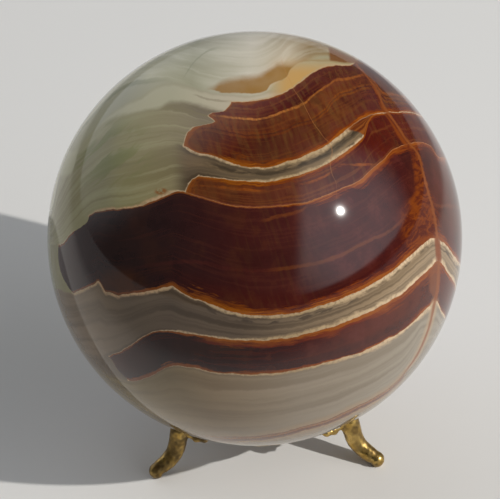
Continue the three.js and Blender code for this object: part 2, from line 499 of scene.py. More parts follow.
# %% The outlines of the dark bands, in picture points
FAN_TOP = [(150, 101), (231, 101.2), (245, 101), (260.6, 98.8), (275.9, 95), (291.2, 87.4), (300.4, 81.2),
           (309.6, 73.6), (321.8, 66.7), (334, 64.4), (346.3, 64.4), (352, 63), (360, 58), (372, 60)]
FAN_BOTTOM = [(150, 140), (183.8, 144.9), (194.3, 150.5), (215.4, 156.1), (236, 163.5), (250.5, 167.3),
              (260, 167.6), (274.4, 164.9), (289.7, 160.4), (307.6, 154), (320.3, 147.7), (337.1, 136.3),
              (352.5, 124.1), (361, 118.5), (370.8, 114), (383, 111.8), (406, 110.3), (418, 114)]
BROWN_TOP = [(150, 186), (188, 184), (191.5, 180.8), (200.4, 177), (218.3, 178.3), (237.4, 180.8),
             (256.5, 181.5), (274.4, 180.2), (289.7, 177), (307.6, 171.9), (320.3, 166.1), (333.1, 159.1),
             (345.8, 150.2), (358, 140.5), (363.5, 133.5), (367, 122), (371.5, 115), (383, 112.4),
             (406, 110.9), (418, 114.6)]
MAROON_TOP = [(60.2, 245.9), (71.7, 234.4), (89.5, 216.5), (104.8, 210.8), (121.4, 209), (139.3, 205.7),
              (155.9, 199.9), (167.3, 194.8), (177.6, 191.2), (185.2, 192.6), (196.7, 196.1),
              (213.3, 201.2), (228.6, 204.8), (250, 207.6), (274.4, 206.3), (307.6, 201.2), (322.9, 196.1),
              (336.9, 190.2), (349.6, 184.6), (362.4, 177), (371.2, 168.7), (382.7, 159), (391.8, 149.8),
              (401, 145.2), (410.2, 142.4), (421.7, 142.1), (429.7, 146.1), (437.8, 156.4)]
MAROON_BOTTOM = [(60, 290), (74.2, 294.3), (87, 288.6), (96, 284), (99.1, 280.3), (102.3, 285),
                 (106.1, 291.8), (118.9, 296.3), (139.3, 293.4), (159.7, 288.5), (172.4, 287), (180, 291.8),
                 (190.3, 296.9), (203.1, 302), (215.8, 307.1), (231, 312.6), (250, 315.6), (269.3, 316),
                 (288.4, 314.2), (307.6, 310), (326.7, 303.8), (345.8, 297), (365, 288.2), (380, 279.5),
                 (391.8, 271.2), (409.1, 255.1), (420.5, 244.8), (430, 237.6), (437, 238), (444.5, 244.3),
                 (452.5, 255.2), (459.6, 265.9)]
LOWER_TOP = [(100, 360), (111, 356.5), (119.9, 352.7), (131.4, 346.3), (142.9, 338.7), (154.4, 332.8),
             (169.7, 331), (187.6, 334), (206.7, 337.4), (225.8, 339.6), (245, 341), (264.6, 341.2),
             (283.8, 338.9), (309.3, 334), (328.4, 328.3), (347.6, 321), (366.7, 313), (385.8, 303.2),
             (405, 290.3), (420.4, 275.7), (429.3, 267.7), (437, 261.4), (441, 264), (447.1, 273.9),
             (453.4, 282.9), (458, 291)]
LOWER_BOTTOM = [(100, 372), (115, 378), (130.2, 382), (141.6, 380.8), (154.4, 375.7), (168.4, 368.5),
                (178.6, 366.3), (193.9, 369.3), (213.1, 373.1), (238.6, 374.8), (271, 374.4),
                (290.2, 371.6), (309.3, 368), (328.4, 363), (347.6, 357.2), (366.7, 350), (385.8, 340.5),
                (405, 328.5), (420.4, 314.1), (429.3, 306.1), (434.5, 301), (440, 310.5), (444.5, 318.6),
                (448, 327)]
FAN_END = [(231, 60), (231, 103), (228, 107), (223.5, 111), (209, 113.2), (208.2, 115.5), (213, 118.5),
           (216, 122), (205, 124.5), (195, 126.3), (192, 128.3), (187.4, 132.2), (185.5, 138), (183.8, 145),
           (190, 150), (200, 160)]
BROWN_END = [(200, 165), (199, 177), (194, 179), (191, 181.5), (189.5, 184), (188, 187), (186, 194)]
MAROON_END = [(90, 216), (60.4, 244), (59.4, 255), (62.8, 274), (69.1, 286.7), (74.2, 294.3), (78, 300)]
LOWER_END = [(109, 340), (110.4, 356.5), (115, 364.5), (120.5, 373), (130.2, 382), (136, 390)]
print("outlines of four dark bands:", len(FAN_TOP + FAN_BOTTOM + MAROON_TOP + MAROON_BOTTOM),
      "points on the largest two")

# %% The thin lines inside the bands, in picture points
FAN_LINE_ONE = [(215, 111), (231, 107.5), (250, 108), (262, 107.5), (275, 103), (290, 96), (300, 89.5),
                (310, 80), (320, 75), (330, 71), (345, 69.5), (360, 72), (372, 80)]
FAN_LINE_TWO = [(200, 114), (215, 115), (232, 116.8), (250, 118.3), (262, 117.5), (275, 114.5), (289, 109),
                (300, 105), (305, 101.5), (312, 95), (320, 88.5), (328, 84), (334, 79), (345, 77.5),
                (355, 76), (363, 74.5), (372, 80), (385, 93)]
FAN_LINE_THREE = [(187, 129), (205, 126.5), (215, 127), (225, 129), (240, 131.5), (250, 132.5), (262, 132),
                  (275, 130), (288, 126.5), (296, 121.5), (305, 119.5), (313, 116), (320, 111), (326, 106),
                  (331, 99), (338, 93), (350, 88), (360, 85), (372, 83.5), (385, 97)]
BROWN_LINE = [(188, 186), (205, 186), (225, 187.5), (245, 190), (262, 190), (280, 188), (300, 184.5),
              (320, 178), (345, 164)]
MAROON_LINE = [(110, 273), (140, 268), (165, 264), (190, 262), (210, 264), (235, 270), (260, 271),
               (275, 270), (300, 266), (320, 262), (340, 255), (355, 247), (370, 240), (385, 233),
               (400, 221), (415, 205)]
LENS_TIP = [(335, 139), (343, 132.5), (350, 130.5), (357, 131.5), (364, 135), (372, 140)]
SHORT_LINE = [(250, 223), (263, 221), (275, 217), (290, 214), (300, 211), (312, 203)]
RED_LINE = [(150, 336), (190, 341), (230, 345.5), (262, 347), (290, 344), (320, 336), (350, 325),
            (380, 312), (405, 296), (430, 272)]
print("thin lines: 7, and the blunt end of the grey lens")

# %% The lines of the pale stone, the fault and the crack, in picture points
VEIL = [(50, 215), (62, 170), (75, 140), (93.3, 115.4), (110.2, 97), (131.2, 83.6), (147, 80), (163, 78.6),
        (180.3, 82), (208, 91), (229, 93.6), (250, 94.5), (277, 82), (292, 66), (330, 56)]
PALE_TOP = [(75, 150), (85, 140), (100, 125), (115, 112), (130, 103), (143, 96.5), (150, 91), (157, 86.5),
            (170, 83.4), (185, 86), (208, 91.5), (229, 94), (250, 95), (270, 91)]
PALE_BOTTOM = [(70, 175), (80, 148), (89, 132), (100, 124), (115, 117.5), (125, 114), (145, 110),
               (160, 107), (168, 102.5), (175, 101), (190, 102.5), (205, 105.5), (222, 110.5), (240, 114)]
CAP_LINE = [(180, 80), (187, 72), (193, 63), (200, 56), (210, 49), (225, 46)]
HONEY_TOP = [(210, 86), (222.4, 79), (240, 75.5), (260, 71.9), (270, 66), (280, 61), (292, 62), (305, 58)]
HONEY_BOTTOM = [(210, 89), (222, 91.5), (245, 92.6), (258, 91.4), (266, 88.5), (270, 84), (277.4, 80),
                (284, 78), (292, 66), (305, 60)]
FAULT = [(352, 55), (367.8, 78.2), (373.9, 85.8), (383.1, 105.7), (395.3, 124.1), (407.6, 142.5),
         (415.9, 152), (419.4, 162.1), (422.8, 175.9), (427.4, 193.1), (432, 210.4), (435.5, 233.3),
         (437, 250.7), (437.6, 261), (436.6, 290), (433.2, 304.3), (431.1, 315.9), (425.7, 333.8),
         (420.4, 347.1), (413.2, 360.5), (402.5, 373.9), (388, 388)]
FOOT_VEIN = [(90, 372), (110, 396), (140, 420), (170, 432), (200, 437), (220, 439.5), (245, 439.5),
             (270, 437), (296.5, 431), (328.4, 421.5), (353.9, 410), (379.4, 396), (398.6, 380.5),
             (411.3, 363), (420, 348)]
CRACK = [(281, 55), (284, 68), (291, 83), (296, 93), (303, 103.5), (309, 115), (322, 135), (330.5, 145),
         (331.5, 152), (329.5, 160), (331, 172), (336, 186)]
print("lines of the pale stone: 7, and a crack of", len(CRACK), "points")

# %% [markdown]
# ## How wide the stains are
#
# Iron has stained the stone along every edge of a dark band: a strip just inside goes orange, and a strip
# just outside goes cream. Neither is even. They are thin on the left, where the dark stone is dense, and
# broad on the right. So each edge gets a width for both strips, drawn along the face: a picture
# column, and the width there in millimetres. Noise then makes both swell and pinch.

# %% Widths of the stains along each edge
STAINS = {
    "fan top": (
        [(231, 0.45), (262, 0.4), (300, 0.22), (346, 0.2), (372, 0.3)],
        [(231, 0.25), (262, 0.35), (300, 0.5), (330, 0.6), (372, 0.3)],
    ),
    "fan bottom": (
        [(184, 0.5), (215, 0.5), (228, 1.2), (250, 1.5), (275, 1.2), (300, 0.9), (345, 1.2), (405, 0.8)],
        [(190, 0.9), (222, 0.8), (240, 0.5), (262, 0.6), (285, 0.8), (310, 1.1), (345, 1.2), (366, 0.9),
         (374, 0.3)],
    ),
    "fan end": (
        [(180, 1.2), (215, 0.6), (231, 0.5)],
        [(180, 0.35), (231, 0.25)],
    ),
    "brown top": (
        [(190, 1.0), (230, 1.0), (262, 0.9), (300, 0.9), (330, 0.9), (350, 1.1), (372, 0.6)],
        [(190, 0.25), (262, 0.4), (290, 0.7), (340, 0.9), (362, 0.8), (372, 0.2)],
    ),
    "brown end": (
        [(180, 1.4), (200, 1.4)],
        [(180, 0.3), (200, 0.3)],
    ),
    "maroon top": (
        [(60, 0.35), (180, 0.3), (275, 0.15), (290, 0.5), (320, 0.9), (350, 1.2), (370, 1.9), (392, 1.8),
         (425, 1.1)],
        [(60, 0.3), (95, 0.6), (140, 0.8), (170, 0.7), (184, 0.2), (437, 0.1)],
    ),
    "maroon bottom": (
        [(60, 0.5), (95, 0.4), (120, 0.6), (165, 0.7), (172, 1.0), (190, 1.4), (215, 1.7), (260, 1.5),
         (340, 1.6), (380, 2.0), (410, 2.3), (437, 1.4)],
        [(60, 0.6), (95, 1.0), (130, 0.8), (165, 1.0), (174, 0.4), (200, 0.3), (215, 0.7), (270, 0.8),
         (330, 1.0), (360, 1.3), (400, 1.4), (437, 1.2)],
    ),
    "lower top": (
        [(110, 0.4), (150, 0.4), (190, 0.7), (230, 1.2), (300, 1.2), (340, 1.6), (380, 1.7), (420, 2.0),
         (437, 1.5)],
        [(110, 0.15), (145, 0.3), (190, 0.5), (230, 0.7), (300, 0.9), (380, 1.2), (437, 1.1)],
    ),
    "lower bottom": (
        [(130, 0.9), (150, 1.1), (170, 0.9), (200, 0.4), (300, 0.4), (340, 0.3), (380, 0.4), (420, 0.7)],
        [(130, 0.1), (200, 0.2), (262, 0.4), (340, 0.8), (420, 1.0)],
    ),
}
WIDEST = 5.0
print("stains along", len(STAINS), "edges")

# %% [markdown]
# ## The onyx material
#
# The material works from the ground up: first the pale stone, region by region, with its growth lines;
# then the dark bands over it, and the thin lines in them; then the stains along their edges; then the fault,
# the veins and a hairline crack. A painted picture on the ball would have been quicker, but it would stop at
# the front, and it would be a copy of a photograph. Solid layers show the right thing from every side.

# %% Onyx: place, bands and shares
onyx = bpy.data.materials.new("onyx")
onyx.use_nodes = True
tree = onyx.node_tree
onyx_shader = tree.nodes["Principled BSDF"]
place = tree.nodes.new("ShaderNodeTexCoord").outputs["Object"]
stone = use_group(directions_group, Place=place)
across, up, inward = stone["Across"], stone["Up"], stone["Inward"]

fan_top = drawn_line(across, FAN_TOP)
fan_bottom = drawn_line(across, FAN_BOTTOM)
brown_top = drawn_line(across, BROWN_TOP)
maroon_top = drawn_line(across, MAROON_TOP)
maroon_bottom = drawn_line(across, MAROON_BOTTOM, handle="VECTOR")
lower_top = drawn_line(across, LOWER_TOP)
lower_bottom = drawn_line(across, LOWER_BOTTOM)
foot_vein = drawn_line(across, FOOT_VEIN)
veil = drawn_line(across, VEIL)
fan_end = drawn_line(up, FAN_END, downwards=True, handle="VECTOR")
brown_end = drawn_line(up, BROWN_END, downwards=True)
maroon_end = drawn_line(up, MAROON_END, downwards=True)
lower_end = drawn_line(up, LOWER_END, downwards=True)


def between(top, bottom, left_end=0.0):
    """The band, or the pale layer, between two lines."""
    return use_group(band_group, Up=up, Across=across, Top=top, Bottom=bottom, Left_end=left_end)


fan = between(fan_top, fan_bottom, fan_end)
brown = between(brown_top, maroon_top, brown_end)
maroon = between(maroon_top, maroon_bottom, maroon_end)
lower = between(lower_top, lower_bottom, lower_end)
honey = between(drawn_line(across, HONEY_TOP), drawn_line(across, HONEY_BOTTOM), face_place(212, 85)[0])
lens = between(fan_bottom, brown_top)
grey = between(maroon_bottom, lower_top)
foot = between(lower_bottom, foot_vein)
crown = between(veil, maroon_top)
print("onyx: lines and bands laid out")

# %% [markdown]
# ## Helpers for painting on the stone
#
# Most of what follows is said in picture columns and rows, because that is how one looks at a stone: it is
# redder from here to there, and paler above that line.

# %% Helpers for the stone
def at(pixel_x):
    """The place across the face of a picture column."""
    return face_place(pixel_x, OUTLINE_CENTRE[1])[0]


def level(pixel_y):
    """The place up the face of a picture row."""
    return face_place(OUTLINE_CENTRE[0], pixel_y)[1]


def by_column(start, end, low=0.0, high=1.0):
    """Goes from low to high across the face, between two picture columns."""
    return fade(across, at(start), at(end), low, high)


def by_row(start, end, low=0.0, high=1.0):
    """Goes from low to high up or down the face, between two picture rows."""
    return fade(up, level(start), level(end), low, high)


def columns(stops):
    """Colours that follow one another across the face, each at a picture column."""
    return colour_bar(across, [(at(column), colour) for column, colour in stops])


def widths(stops):
    """A width in millimetres that changes across the face."""
    curve = line_through(across, [(at(column), width / WIDEST) for column, width in stops])
    return times(curve, WIDEST)


def below(line, soft=0.3):
    """1 below a line and 0 above it, soft over so many millimetres."""
    return fade(minus(up, line), soft / FACE_SPAN, -soft / FACE_SPAN)


def seam(line, width):
    """1 along a line, as wide as so many millimetres."""
    gap = times(calc("ABSOLUTE", minus(up, line)), FACE_SPAN)
    return fade(gap, times(width, 0.9), times(width, 0.25))


facing_front = fade(inward, 0.05, -0.15)


def spot(pixel_x, pixel_y, wide, high, soft=0.5):
    """A soft round patch on the front of the face, its half sizes in millimetres."""
    middle_across, middle_up = face_place(pixel_x, pixel_y)
    right = times(minus(across, middle_across), FACE_SPAN / wide)
    over = times(minus(up, middle_up), FACE_SPAN / high)
    reach = calc("SQRT", plus(times(right, right), times(over, over)))
    return times(fade(reach, 1.0, 1.0 - soft), facing_front)


def growth(share, fineness, length, detail=2.0):
    """Noise drawn out along the layers of one region."""
    drawn_out = join(times(share, fineness), times(across, length), times(inward, length))
    return grain(drawn_out, 1.0, detail)


along_layers = join(times(across, 9.0), times(up, 34.0), times(inward, 9.0))
swell = fade(grain(along_layers, 1.0, 4.0, 0.65), 0.32, 0.68, 0.6, 1.4)
print("helpers for the stone ready")

# %% [markdown]
# ## The pale ground
#
# Growth lines are what makes pale onyx look like onyx. Each region has its own: the noise is stretched
# along the layers by giving it the share through the layer, times a large number, and the place across the
# face, times a small one. In the photograph they are faint, so the colours on either side of them differ
# only a little.

# %% Onyx: the green crown at the left
crown_lines = growth(crown["Share"], 6.0, 2.0)
# The crown's colours are partly the stone's own green and partly painted light. Towards the left, where the
# ball turns away from the lamp into shade, they are made lighter and yellower. This stands for the light that
# the translucent stone carries round from its lit side.
crown_dark_with_painted_light = columns([(60, (146, 136, 96)), (120, (152, 140, 84)), (200, (112, 98, 76))])
crown_pale_with_painted_light = columns([(60, (162, 154, 114)), (120, (168, 158, 106)), (200, (132, 118, 94))])
ground = lay(crown_dark_with_painted_light, crown_pale_with_painted_light, fade(crown_lines, 0.35, 0.65))
crown_fine = growth(crown["Share"], 26.0, 3.0, 3.0)
ground = lay(ground, (184, 178, 134), fade(crown_fine, 0.5, 0.68, 0.0, 0.3))
ground = lay(ground, (126, 116, 70), fade(crown_fine, 0.5, 0.32, 0.0, 0.4))
slanting = join(plus(times(up, 38.0), times(across, -30.0)), plus(times(up, 5.0), times(across, 6.0)), inward)
wisps = times(fade(grain(slanting, 1.0, 2.0, 0.5, 0.6), 0.47, 0.58), spot(108, 152, 13.0, 11.0, 0.8))
ground = lay(ground, (122, 126, 46), wisps, 0.7)

under_pale_top = below(drawn_line(across, PALE_TOP), 0.8)
under_pale_bottom = below(drawn_line(across, PALE_BOTTOM), 0.8)
over_colour = columns([(80, (168, 162, 122)), (150, (180, 174, 140)), (200, (164, 158, 128))])
pale_colour = columns([(80, (180, 174, 132)), (125, (202, 194, 156)), (170, (184, 178, 146)),
                       (225, (182, 170, 146))])
ground = lay(ground, over_colour, outside(under_pale_top))
ground = lay(ground, pale_colour, under_pale_top, outside(under_pale_bottom))
print("onyx: green crown done")

# %% Onyx: the cap above the veil
over_veil = minus(up, veil)
cap_lines = growth(over_veil, 26.0, 3.0, 3.0)
cap_dark = columns([(110, (188, 182, 144)), (145, (198, 192, 154)), (190, (154, 150, 118)),
                    (250, (194, 186, 166)), (290, (184, 168, 140)), (312, (142, 118, 78))])
cap_light = columns([(110, (204, 198, 162)), (145, (216, 210, 176)), (190, (172, 168, 138)),
                     (250, (212, 204, 188)), (290, (200, 186, 162)), (312, (162, 138, 100))])
cap_colour = lay(cap_dark, cap_light, fade(cap_lines, 0.36, 0.64))
cap_fine = growth(over_veil, 90.0, 4.0, 3.0)
cap_colour = lay(cap_colour, (222, 216, 192), fade(cap_fine, 0.5, 0.68, 0.0, 0.2))
cap_colour = lay(cap_colour, (146, 142, 108), fade(cap_fine, 0.5, 0.32, 0.0, 0.18))
ground = lay(ground, cap_colour, fade(over_veil, -0.004, 0.006))
veil_line = times(seam(veil, 0.9), by_column(180, 125))
ground = lay(ground, (138, 138, 92), veil_line, 0.75)
cap_line = times(seam(drawn_line(across, CAP_LINE), 0.5), spot(202, 62, 6.0, 7.0))
ground = lay(ground, (128, 130, 96), cap_line, 0.5)
thin_lines = times(fade(growth(over_veil, 150.0, 2.0), 0.54, 0.6), spot(209, 99, 6.0, 2.2))
ground = lay(ground, (140, 128, 102), thin_lines, 0.6)

honey_grain = fade(grain(place, 90.0), 0.25, 0.6, 0.85, 1.0)
honey_edges = times(fade(honey["Under top"], -0.8, 1.6), fade(honey["Over bottom"], -0.25, 0.2))
honey_warm = times(honey_edges, fade(honey["From end"], -2.0, 1.2), honey_grain)
ground = lay(ground, (142, 98, 2), honey_warm)
creamy = times(by_column(262, 290), by_row(52, 74), by_row(112, 96))
ground = lay(ground, (184, 144, 82), creamy, outside(honey_warm))
print("onyx: cap and honey done")

# %% Onyx: lens, grey layer and foot
lens_colour = colour_bar(growth(lens["Share"], 4.0, 4.0),
                         [(0.35, (80, 65, 48)), (0.5, (98, 82, 62)), (0.66, (126, 104, 76))])
lens_mask = times(below(fan_bottom, 0.2), by_column(170, 190))
ground = lay(ground, lens_colour, lens_mask)
lens_middle = fade(calc("ABSOLUTE", minus(lens["Share"], 0.42)), 0.24, 0.04)
lens_dashes = fade(growth(lens["Share"], 4.0, 26.0), 0.42, 0.56)
ground = lay(ground, (56, 46, 34), lens_middle, lens_dashes, by_column(195, 225), 0.8)

grey_lines = growth(grey["Share"], 9.0, 1.6, 4.0)
grey_low = columns([(90, (124, 104, 80)), (170, (82, 68, 54)), (240, (72, 58, 44)), (330, (92, 76, 58)),
                    (400, (108, 90, 68))])
grey_high = columns([(90, (146, 124, 98)), (170, (104, 88, 72)), (240, (98, 82, 66)), (330, (130, 110, 86)),
                     (400, (150, 128, 100))])
grey_colour = lay(grey_low, grey_high, fade(grey_lines, 0.34, 0.66))
grey_line = fade(calc("ABSOLUTE", minus(grey["Under top"], 1.5)), 0.6, 0.15)
grey_dashes = fade(growth(grey["Share"], 4.0, 28.0), 0.5, 0.6)
grey_colour = lay(grey_colour, (58, 47, 36), grey_line, grey_dashes, by_column(190, 220), 0.7)
ground = lay(ground, grey_colour, below(maroon_bottom, 0.3))

foot_lines = growth(foot["Share"], 7.0, 1.6, 4.0)
foot_low = columns([(130, (124, 104, 66)), (210, (126, 104, 76)), (300, (130, 116, 98)),
                    (400, (130, 118, 102))])
foot_high = columns([(130, (146, 126, 84)), (210, (146, 124, 94)), (300, (148, 134, 116)),
                     (400, (148, 138, 122))])
foot_colour = lay(foot_low, foot_high, fade(foot_lines, 0.34, 0.66))
ground = lay(ground, foot_colour, below(lower_bottom, 1.0))
print("onyx: lens, grey layer and foot done")

# %% [markdown]
# ## The dark bands
#
# Each dark band has its own run of colours across the face, and thin lines that follow its layers. Where a
# thin line is pale, less iron came in while that layer grew. Fine fibres stand across the layers, as the
# crystals grew, and shift the brown a little between red and olive.

# %% Onyx: the fan
line_one = drawn_line(across, FAN_LINE_ONE)
line_two = drawn_line(across, FAN_LINE_TWO)
line_three = drawn_line(across, FAN_LINE_THREE)
line_under_three = minus(line_three, 0.009)
fan_colour = columns([(230, (98, 30, 8)), (300, (82, 26, 8)), (350, (84, 34, 18))])
second_layer = columns([(225, (104, 40, 10)), (262, (84, 24, 8)), (300, (68, 14, 6)), (350, (84, 36, 16))])
third_layer = columns([(208, (116, 60, 22)), (232, (112, 54, 18)), (246, (92, 42, 16)), (320, (104, 54, 24)),
                       (375, (90, 36, 12))])
fourth_layer = columns([(190, (106, 54, 20)), (230, (88, 32, 10)), (262, (74, 36, 18)), (340, (92, 48, 22)),
                        (375, (80, 32, 28))])
fan_colour = lay(fan_colour, second_layer, below(line_one))
fan_colour = lay(fan_colour, third_layer, below(line_two))
fan_colour = lay(fan_colour, fourth_layer, below(line_three))

one_colour = columns([(230, (130, 74, 30)), (262, (108, 54, 20)), (340, (88, 38, 14))])
two_colour = columns([(208, (130, 74, 28)), (240, (176, 110, 50)), (330, (152, 88, 32)),
                      (372, (130, 66, 18))])
two_width = widths([(208, 0.4), (300, 0.5), (372, 0.55)])
fan_colour = lay(fan_colour, one_colour, seam(line_one, 0.35), by_column(372, 350), 0.75)
fan_colour = lay(fan_colour, two_colour, seam(line_two, two_width))
three_colour = columns([(190, (116, 62, 22)), (230, (118, 58, 18)), (290, (98, 44, 14)),
                        (320, (122, 64, 18))])
fan_colour = lay(fan_colour, three_colour, seam(line_three, 0.45), 0.85)
fan_colour = lay(fan_colour, three_colour, seam(line_under_three, 0.5), 0.75)
print("onyx: fan done")

# %% Onyx: brown, maroon and lower bands
brown_colour = columns([(188, (104, 54, 22)), (240, (86, 40, 18)), (290, (92, 46, 30)), (330, (80, 30, 16)),
                        (365, (72, 14, 4)), (402, (84, 26, 6))])
brown_line = times(seam(drawn_line(across, BROWN_LINE), 0.5), fade(swell, 0.7, 1.2))
brown_colour = lay(brown_colour, (150, 78, 20), brown_line, 0.7)
pink_line = times(seam(maroon_top, 0.5), by_column(300, 285))
brown_colour = lay(brown_colour, (132, 70, 50), pink_line, 0.8)

maroon_colour = columns([(60, (66, 40, 34)), (110, (54, 34, 30)), (165, (46, 24, 23)), (243, (60, 20, 16)),
                         (300, (66, 26, 22)), (345, (62, 16, 16)), (400, (62, 18, 14)),
                         (437, (80, 32, 12))])
maroon_colour = lay(maroon_colour, (88, 46, 14), spot(121, 285, 8.0, 5.0, 0.8), 0.8)
red_foot = fade(maroon["Over bottom"], 7.0, 3.0)
maroon_colour = lay(maroon_colour, (66, 16, 8), red_foot, by_column(140, 240), 0.7)
maroon_line = drawn_line(across, MAROON_LINE)
LINE_STRENGTH = [(110, 0.0), (160, 0.2), (262, 0.25), (285, 0.5), (405, 0.3)]
line_strength = line_through(across, [(at(column), strength) for column, strength in LINE_STRENGTH])
line_colour = columns([(160, (100, 42, 34)), (262, (106, 44, 30)), (280, (122, 64, 24)),
                       (400, (128, 72, 40))])
maroon_colour = lay(maroon_colour, line_colour, seam(maroon_line, 0.7), line_strength)
short_line = times(seam(drawn_line(across, SHORT_LINE), 0.6), spot(285, 214, 7.0, 4.0))
maroon_colour = lay(maroon_colour, (126, 66, 24), short_line, 0.45)
pink_mask = times(seam(maroon_top, 0.5), by_column(178, 190), by_column(300, 285))
maroon_colour = lay(maroon_colour, (132, 70, 50), pink_mask, 0.8)

lower_colour = columns([(110, (74, 28, 14)), (165, (44, 18, 10)), (230, (26, 6, 4)), (300, (58, 12, 6)),
                        (360, (80, 27, 13)), (420, (84, 36, 22))])
lower_foot = fade(lower["Share"], 0.55, 0.8)
lower_colour = lay(lower_colour, (54, 26, 22), lower_foot, 0.5)
red_line = times(seam(drawn_line(across, RED_LINE), 0.6), by_column(185, 215))
lower_colour = lay(lower_colour, (106, 34, 6), red_line, 0.75)
print("onyx: brown, maroon and lower bands done")

# %% Onyx: the dark bands together
def filled(band):
    """1 inside a band."""
    return fade(band["Depth"], -0.08, 0.08)


dark = lay(lower_colour, fan_colour, filled(fan))
dark = lay(dark, brown_colour, filled(brown))
dark = lay(dark, maroon_colour, filled(maroon))
depth = largest(fan["Depth"], brown["Depth"], maroon["Depth"], lower["Depth"])
inside = fade(depth, -0.08, 0.08)

leaning = plus(times(up, 34.0), times(across, 105.0))
fibres = grain(join(leaning, times(up, 8.0), times(inward, 40.0)), 1.0)
middle = times(by_column(225, 250), by_column(340, 300))
fibrous = largest(filled(fan), times(filled(brown), 0.6), times(filled(maroon), middle, 0.25))
dark = lay(dark, (102, 66, 30), fade(fibres, 0.5, 0.64), fibrous, 0.42)
dark = lay(dark, (72, 20, 14), fade(fibres, 0.5, 0.36), fibrous, 0.42)
mottle = grain(place, 200.0, 4.0, 0.65)
mottle_light = columns([(160, (52, 30, 24)), (250, (84, 42, 18)), (330, (92, 40, 34))])
mottle_dark = columns([(160, (30, 14, 14)), (250, (56, 12, 9)), (330, (44, 8, 10))])
dark = lay(dark, mottle_light, fade(mottle, 0.5, 0.66, 0.0, 0.35))
dark = lay(dark, mottle_dark, fade(mottle, 0.5, 0.34, 0.0, 0.4))
PALE_LAYERS = [(fan, 26.0, 0.22, (122, 68, 26)), (brown, 10.0, 0.35, (120, 66, 28)),
               (maroon, 34.0, 0.18, (92, 44, 30)), (lower, 11.0, 0.25, (90, 32, 12))]
for band, fineness, strength, colour in PALE_LAYERS:
    lines = fade(growth(band["Share"], fineness, 5.0, 3.0), 0.52, 0.64)
    dark = lay(dark, colour, lines, filled(band), strength)
blotches = grain(place, 60.0)
dark = lay(dark, (84, 44, 20), fade(blotches, 0.55, 0.7, 0.0, 0.25))
dark = lay(dark, (40, 12, 8), fade(blotches, 0.45, 0.3, 0.0, 0.3))
print("onyx: dark bands done")

# %% Onyx: stains along the edges
def stains(name, band, distance, others):
    """Orange, yellow and cream masks along one edge of a band."""
    orange_width, cream_width = (widths(stops) for stops in STAINS[name])
    beside = smallest(band[others[0]], band[others[1]])
    return use_group(stain_group, Distance=band[distance], Beside=beside, Orange_width=orange_width,
                     Cream_width=cream_width, Swell=swell, Across=across, Inward=inward)


BAND_SIDES = [("top", "Under top", ("Over bottom", "From end")),
              ("bottom", "Over bottom", ("Under top", "From end")),
              ("end", "From end", ("Under top", "Over bottom"))]
cream, orange, yellow = 0.0, 0.0, 0.0
for title, band in (("fan", fan), ("brown", brown), ("maroon", maroon), ("lower", lower)):
    for side, distance, others in BAND_SIDES:
        name = f"{title} {side}"
        if name in STAINS:
            edge = stains(name, band, distance, others)
            cream = largest(cream, edge["Cream"])
            orange = largest(orange, edge["Orange"])
            yellow = largest(yellow, edge["Yellow"])

cream_colour = columns([(60, (196, 170, 128)), (130, (226, 182, 136)), (175, (200, 172, 136)),
                        (300, (172, 146, 108)), (400, (204, 178, 144))])
ground = lay(ground, cream_colour, cream, fade(grain(place, 1300.0), 0.36, 0.54, 0.5, 0.95))
orange_colour = columns([(60, (140, 78, 40)), (150, (140, 76, 30)), (230, (118, 58, 6)), (330, (108, 42, 6)),
                         (430, (110, 46, 8))])
dark = lay(dark, orange_colour, orange, 0.9)
yellow_colour = columns([(60, (96, 56, 30)), (150, (132, 74, 28)), (230, (150, 84, 14)),
                         (430, (142, 74, 16))])
dark = lay(dark, yellow_colour, yellow, 0.8)
above_tip_line = outside(below(drawn_line(across, LENS_TIP)))
over_tip = times(above_tip_line, by_column(344, 352), by_column(380, 374), below(fan_bottom))
tip_colour = lay((88, 36, 12), (128, 70, 24), fade(growth(lens["Share"], 8.0, 4.0), 0.4, 0.6))
ground = lay(ground, tip_colour, over_tip)
stone_colour = lay(ground, dark, inside)
print("onyx: stains done along", len(STAINS), "edges")

# %% Onyx: the fault
fault_line = drawn_line(up, FAULT, downwards=True)
beside = times(minus(across, fault_line), FACE_SPAN)
FAULT_REACH = [(60, 0.6), (110, 1.0), (150, 1.8), (185, 2.8), (205, 6.5), (235, 8.0), (250, 5.0), (262, 1.0),
               (273, 2.2), (286, 2.2), (298, 1.2), (308, 0.2)]
WIDEST_REACH = 10.0
reach_curve = line_through(up, [(level(row), width / WIDEST_REACH) for row, width in FAULT_REACH])
reach = times(reach_curve, WIDEST_REACH)
streak_place = join(times(maroon["Share"], 14.0), times(beside, 0.35), times(inward, 20.0))
streaks = grain(streak_place, 1.0, 4.0, 0.65, 1.0)
left_of_fault = calc("ABSOLUTE", calc("MULTIPLY_ADD", reach, 0.45, beside))
in_reach = times(fade(left_of_fault, times(reach, 0.8), times(reach, 0.35)), inside)
upper_fault = by_row(266, 258)
stone_colour = lay(stone_colour, (88, 30, 6), in_reach, upper_fault, 0.6)
stone_colour = lay(stone_colour, (124, 58, 8), in_reach, upper_fault, fade(streaks, 0.42, 0.6), 0.75)
pink_part = times(in_reach, outside(upper_fault), by_row(310, 302))
stone_colour = lay(stone_colour, (124, 70, 36), pink_part, 0.6)

on_vein = calc("ABSOLUTE", beside)
vein = fade(on_vein, fade(streaks, 0.3, 0.7, 0.3, 0.8), 0.08)
low_part = by_row(298, 310)
vein_end = by_row(386, 372)
stone_colour = lay(stone_colour, (172, 148, 118), fade(on_vein, 1.3, 0.5), low_part, vein_end, 0.7)
stone_colour = lay(stone_colour, (130, 70, 28), vein, vein_end, 0.85)
parting = times(fade(on_vein, 1.0, 0.5), by_row(268, 260), by_row(225, 232))
stone_colour = lay(stone_colour, (118, 58, 18), parting, outside(inside), 0.9)
print("onyx: fault done")

